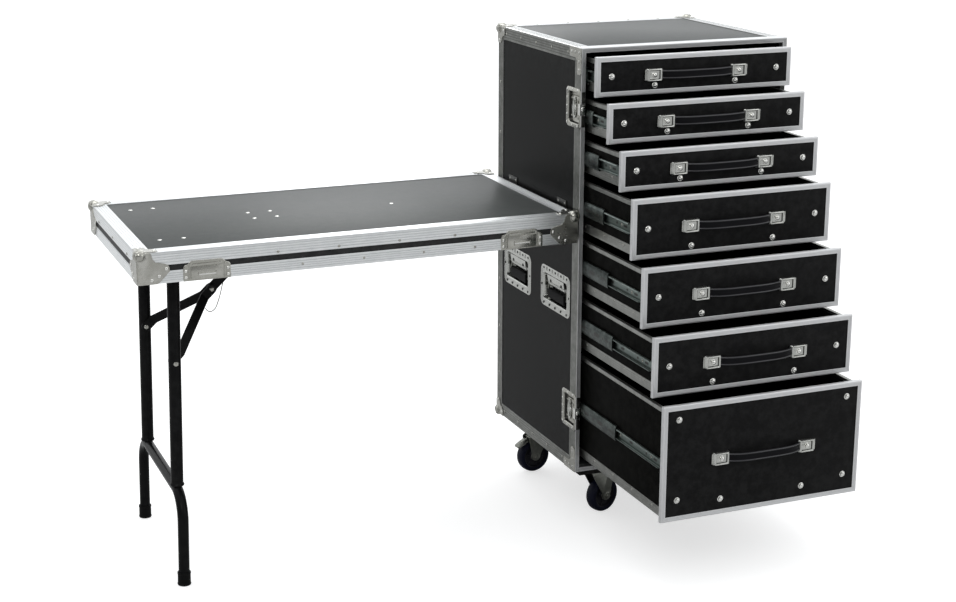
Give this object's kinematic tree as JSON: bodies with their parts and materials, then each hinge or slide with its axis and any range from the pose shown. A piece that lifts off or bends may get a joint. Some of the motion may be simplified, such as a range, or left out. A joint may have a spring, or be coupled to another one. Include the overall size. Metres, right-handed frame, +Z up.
{
  "type": "road case with drawers",
  "caption": "Upright flight case on swivel casters with sliding drawers and strap handles; its lid hooks to the side as a table on a folding braced leg set.",
  "frame": {"origin": "middle of the whole object's footprint, on the floor", "axes": "+X from the table towards the cabinet's right side, +Y from the drawer fronts towards the cabinet's back, +Z up"},
  "size_m": [1.796, 1.0963, 1.336],
  "materials": {
    "laminate": "black laminated plywood, fine matt grain",
    "aluminium": "mill-finish extrusion with fine ribs",
    "nickel": "nickel-plated pressed steel",
    "zinc": "bright zinc-plated steel",
    "black_steel": "black powder coat",
    "rubber": "black moulded rubber",
    "wheel": "dark blue elastic tread on a dark hub"
  },
  "bodies": {
    "cabinet": {"cabinet_carcass": "laminate", "base_board": "laminate", "front_frame": "aluminium", "cabinet_edging": "aluminium", "handle_dish_left_front": "nickel", "handle_dish_left_rear": "nickel", "handle_dish_right_front": "nickel", "handle_dish_right_rear": "nickel", "table_hook_front": "nickel", "table_hook_rear": "nickel"},
    "drawer_1": {"drawer_1": "laminate"},
    "slide_mid_1": {"slide_mid_1_left": "zinc", "slide_mid_1_right": "zinc"},
    "drawer_2": {"drawer_2": "laminate"},
    "slide_mid_2": {"slide_mid_2_left": "zinc", "slide_mid_2_right": "zinc"},
    "drawer_3": {"drawer_3": "laminate"},
    "slide_mid_3": {"slide_mid_3_left": "zinc", "slide_mid_3_right": "zinc"},
    "drawer_4": {"drawer_4": "laminate"},
    "slide_mid_4": {"slide_mid_4_left": "zinc", "slide_mid_4_right": "zinc"},
    "drawer_5": {"drawer_5": "laminate"},
    "slide_mid_5": {"slide_mid_5_left": "zinc", "slide_mid_5_right": "zinc"},
    "drawer_6": {"drawer_6": "laminate"},
    "slide_mid_6": {"slide_mid_6_left": "zinc", "slide_mid_6_right": "zinc"},
    "drawer_7": {"drawer_7": "laminate"},
    "slide_mid_7": {"slide_mid_7_left": "zinc", "slide_mid_7_right": "zinc"},
    "latch_wing_left_upper": {"latch_wing_left_upper": "nickel"},
    "latch_wing_left_lower": {"latch_wing_left_lower": "nickel"},
    "handle_grip_left_front": {"handle_grip_left_front": "rubber"},
    "handle_grip_left_rear": {"handle_grip_left_rear": "rubber"},
    "latch_wing_right_upper": {"latch_wing_right_upper": "nickel"},
    "latch_wing_right_lower": {"latch_wing_right_lower": "nickel"},
    "handle_grip_right_front": {"handle_grip_right_front": "rubber"},
    "handle_grip_right_rear": {"handle_grip_right_rear": "rubber"},
    "caster_fork_front_left": {"caster_fork_front_left": "zinc"},
    "caster_wheel_front_left": {"caster_wheel_front_left": "wheel"},
    "brake_pedal_front_left": {"brake_pedal_front_left": "zinc"},
    "caster_fork_back_left": {"caster_fork_back_left": "zinc"},
    "caster_wheel_back_left": {"caster_wheel_back_left": "wheel"},
    "brake_pedal_back_left": {"brake_pedal_back_left": "zinc"},
    "caster_fork_front_right": {"caster_fork_front_right": "zinc"},
    "caster_wheel_front_right": {"caster_wheel_front_right": "wheel"},
    "caster_fork_back_right": {"caster_fork_back_right": "zinc"},
    "caster_wheel_back_right": {"caster_wheel_back_right": "wheel"},
    "lid": {"lid_shell": "laminate", "lid_edging": "aluminium", "leg_bracket_front": "black_steel", "leg_bracket_rear": "black_steel"},
    "legs": {"leg_frame": "black_steel", "foot_cap_front": "rubber", "foot_cap_rear": "rubber"},
    "brace_arms": {"brace_arm_front": "black_steel", "brace_arm_rear": "black_steel"},
    "brace_link": {"brace_link": "black_steel"},
    "lock_wire": {"lock_wire": "zinc"}
  },
  "joints": [
    {"name": "drawer_1_slide", "type": "slide", "parent": "cabinet", "child": "drawer_1", "axis": [0, -1, 0], "range_m": [-0.052, 0.448]},
    {"name": "slide_mid_1_slide", "type": "slide", "parent": "cabinet", "child": "slide_mid_1", "axis": [0, -1, 0], "range_m": [-0.026, 0.224]},
    {"name": "drawer_2_slide", "type": "slide", "parent": "cabinet", "child": "drawer_2", "axis": [0, -1, 0], "range_m": [-0.127, 0.373]},
    {"name": "slide_mid_2_slide", "type": "slide", "parent": "cabinet", "child": "slide_mid_2", "axis": [0, -1, 0], "range_m": [-0.0635, 0.1865]},
    {"name": "drawer_3_slide", "type": "slide", "parent": "cabinet", "child": "drawer_3", "axis": [0, -1, 0], "range_m": [-0.202, 0.298]},
    {"name": "slide_mid_3_slide", "type": "slide", "parent": "cabinet", "child": "slide_mid_3", "axis": [0, -1, 0], "range_m": [-0.101, 0.149]},
    {"name": "drawer_4_slide", "type": "slide", "parent": "cabinet", "child": "drawer_4", "axis": [0, -1, 0], "range_m": [-0.272, 0.228]},
    {"name": "slide_mid_4_slide", "type": "slide", "parent": "cabinet", "child": "slide_mid_4", "axis": [0, -1, 0], "range_m": [-0.136, 0.114]},
    {"name": "drawer_5_slide", "type": "slide", "parent": "cabinet", "child": "drawer_5", "axis": [0, -1, 0], "range_m": [-0.337, 0.163]},
    {"name": "slide_mid_5_slide", "type": "slide", "parent": "cabinet", "child": "slide_mid_5", "axis": [0, -1, 0], "range_m": [-0.1685, 0.0815]},
    {"name": "drawer_6_slide", "type": "slide", "parent": "cabinet", "child": "drawer_6", "axis": [0, -1, 0], "range_m": [-0.404, 0.096]},
    {"name": "slide_mid_6_slide", "type": "slide", "parent": "cabinet", "child": "slide_mid_6", "axis": [0, -1, 0], "range_m": [-0.202, 0.048]},
    {"name": "drawer_7_slide", "type": "slide", "parent": "cabinet", "child": "drawer_7", "axis": [0, -1, 0], "range_m": [-0.464, 0.036]},
    {"name": "slide_mid_7_slide", "type": "slide", "parent": "cabinet", "child": "slide_mid_7", "axis": [0, -1, 0], "range_m": [-0.232, 0.018]},
    {"name": "latch_wing_left_upper_turn", "type": "hinge", "parent": "cabinet", "child": "latch_wing_left_upper", "pos_m": [0.2815, -0.0135, 1.169], "axis": [1, 0, 0], "range_deg": [0, 180]},
    {"name": "latch_wing_left_lower_turn", "type": "hinge", "parent": "cabinet", "child": "latch_wing_left_lower", "pos_m": [0.2815, -0.0135, 0.337], "axis": [1, 0, 0], "range_deg": [0, 180]},
    {"name": "handle_grip_left_front_swing", "type": "hinge", "parent": "cabinet", "child": "handle_grip_left_front", "pos_m": [0.2895, 0.0865, 0.65907], "axis": [0, 1, 0], "range_deg": [0, 90]},
    {"name": "handle_grip_left_rear_swing", "type": "hinge", "parent": "cabinet", "child": "handle_grip_left_rear", "pos_m": [0.2895, 0.3445, 0.65907], "axis": [0, 1, 0], "range_deg": [0, 90]},
    {"name": "latch_wing_right_upper_turn", "type": "hinge", "parent": "cabinet", "child": "latch_wing_right_upper", "pos_m": [0.8885, -0.0135, 1.169], "axis": [-1, 0, 0], "range_deg": [0, 180]},
    {"name": "latch_wing_right_lower_turn", "type": "hinge", "parent": "cabinet", "child": "latch_wing_right_lower", "pos_m": [0.8885, -0.0135, 0.337], "axis": [-1, 0, 0], "range_deg": [0, 180]},
    {"name": "handle_grip_right_front_swing", "type": "hinge", "parent": "cabinet", "child": "handle_grip_right_front", "pos_m": [0.8805, 0.0865, 0.65907], "axis": [0, -1, 0], "range_deg": [0, 90]},
    {"name": "handle_grip_right_rear_swing", "type": "hinge", "parent": "cabinet", "child": "handle_grip_right_rear", "pos_m": [0.8805, 0.3445, 0.65907], "axis": [0, -1, 0], "range_deg": [0, 90]},
    {"name": "caster_swivel_front_left", "type": "hinge", "parent": "cabinet", "child": "caster_fork_front_left", "pos_m": [0.386, 0.0305, 0], "axis": [0, 0, 1], "continuous": true},
    {"name": "caster_spin_front_left", "type": "hinge", "parent": "caster_fork_front_left", "child": "caster_wheel_front_left", "pos_m": [0.41263, 0.03915, 0.05], "axis": [-0.309, 0.9511, 0], "continuous": true},
    {"name": "brake_press_front_left", "type": "hinge", "parent": "caster_fork_front_left", "child": "brake_pedal_front_left", "pos_m": [0.42594, 0.04348, 0.108], "axis": [-0.309, 0.9511, 0], "range_deg": [0, 8]},
    {"name": "caster_swivel_back_left", "type": "hinge", "parent": "cabinet", "child": "caster_fork_back_left", "pos_m": [0.386, 0.4005, 0], "axis": [0, 0, 1], "continuous": true},
    {"name": "caster_spin_back_left", "type": "hinge", "parent": "caster_fork_back_left", "child": "caster_wheel_back_left", "pos_m": [0.35821, 0.39709, 0.05], "axis": [0.1219, -0.9925, 0], "continuous": true},
    {"name": "brake_press_back_left", "type": "hinge", "parent": "caster_fork_back_left", "child": "brake_pedal_back_left", "pos_m": [0.34431, 0.39538, 0.108], "axis": [0.1219, -0.9925, 0], "range_deg": [0, 8]},
    {"name": "caster_swivel_front_right", "type": "hinge", "parent": "cabinet", "child": "caster_fork_front_right", "pos_m": [0.784, 0.0305, 0], "axis": [0, 0, 1], "continuous": true},
    {"name": "caster_spin_front_right", "type": "hinge", "parent": "caster_fork_front_right", "child": "caster_wheel_front_right", "pos_m": [0.81063, 0.03915, 0.05], "axis": [-0.309, 0.9511, 0], "continuous": true},
    {"name": "caster_swivel_back_right", "type": "hinge", "parent": "cabinet", "child": "caster_fork_back_right", "pos_m": [0.784, 0.4005, 0], "axis": [0, 0, 1], "continuous": true},
    {"name": "caster_spin_back_right", "type": "hinge", "parent": "caster_fork_back_right", "child": "caster_wheel_back_right", "pos_m": [0.75621, 0.39709, 0.05], "axis": [0.1219, -0.9925, 0], "continuous": true},
    {"name": "lid_lift", "type": "slide", "parent": "cabinet", "child": "lid", "axis": [0, 0, 1], "range_m": [0, 0.03]},
    {"name": "leg_fold", "type": "hinge", "parent": "lid", "child": "legs", "pos_m": [-0.777, 0.2355, 0.86], "axis": [0, -1, 0], "range_deg": [0, 91.5]},
    {"name": "brace_arm_fold", "type": "hinge", "parent": "legs", "child": "brace_arms", "pos_m": [-0.78438, 0.2355, 0.5781], "axis": [0, -1, 0], "range_deg": [-137.18, 0.5]},
    {"name": "brace_link_fold", "type": "hinge", "parent": "lid", "child": "brace_link", "pos_m": [-0.497, 0.2355, 0.846], "axis": [0, -1, 0], "range_deg": [-0.5, 139.4]},
    {"name": "lock_wire_hang", "type": "hinge", "parent": "brace_link", "child": "lock_wire", "pos_m": [-0.58653, 0.2355, 0.76253], "axis": [0, -1, 0], "range_deg": [-139.4, 0.5]}
  ],
  "couplings": [
    {"joint": "slide_mid_1_slide", "follows": "drawer_1_slide", "ratio": 0.5},
    {"joint": "slide_mid_2_slide", "follows": "drawer_2_slide", "ratio": 0.5},
    {"joint": "slide_mid_3_slide", "follows": "drawer_3_slide", "ratio": 0.5},
    {"joint": "slide_mid_4_slide", "follows": "drawer_4_slide", "ratio": 0.5},
    {"joint": "slide_mid_5_slide", "follows": "drawer_5_slide", "ratio": 0.5},
    {"joint": "slide_mid_6_slide", "follows": "drawer_6_slide", "ratio": 0.5},
    {"joint": "slide_mid_7_slide", "follows": "drawer_7_slide", "ratio": 0.5},
    {"joint": "brace_arm_fold", "follows": "leg_fold", "ratio": -1.4938},
    {"joint": "brace_link_fold", "follows": "leg_fold", "ratio": 1.518},
    {"joint": "lock_wire_hang", "follows": "leg_fold", "ratio": -1.518}
  ]
}
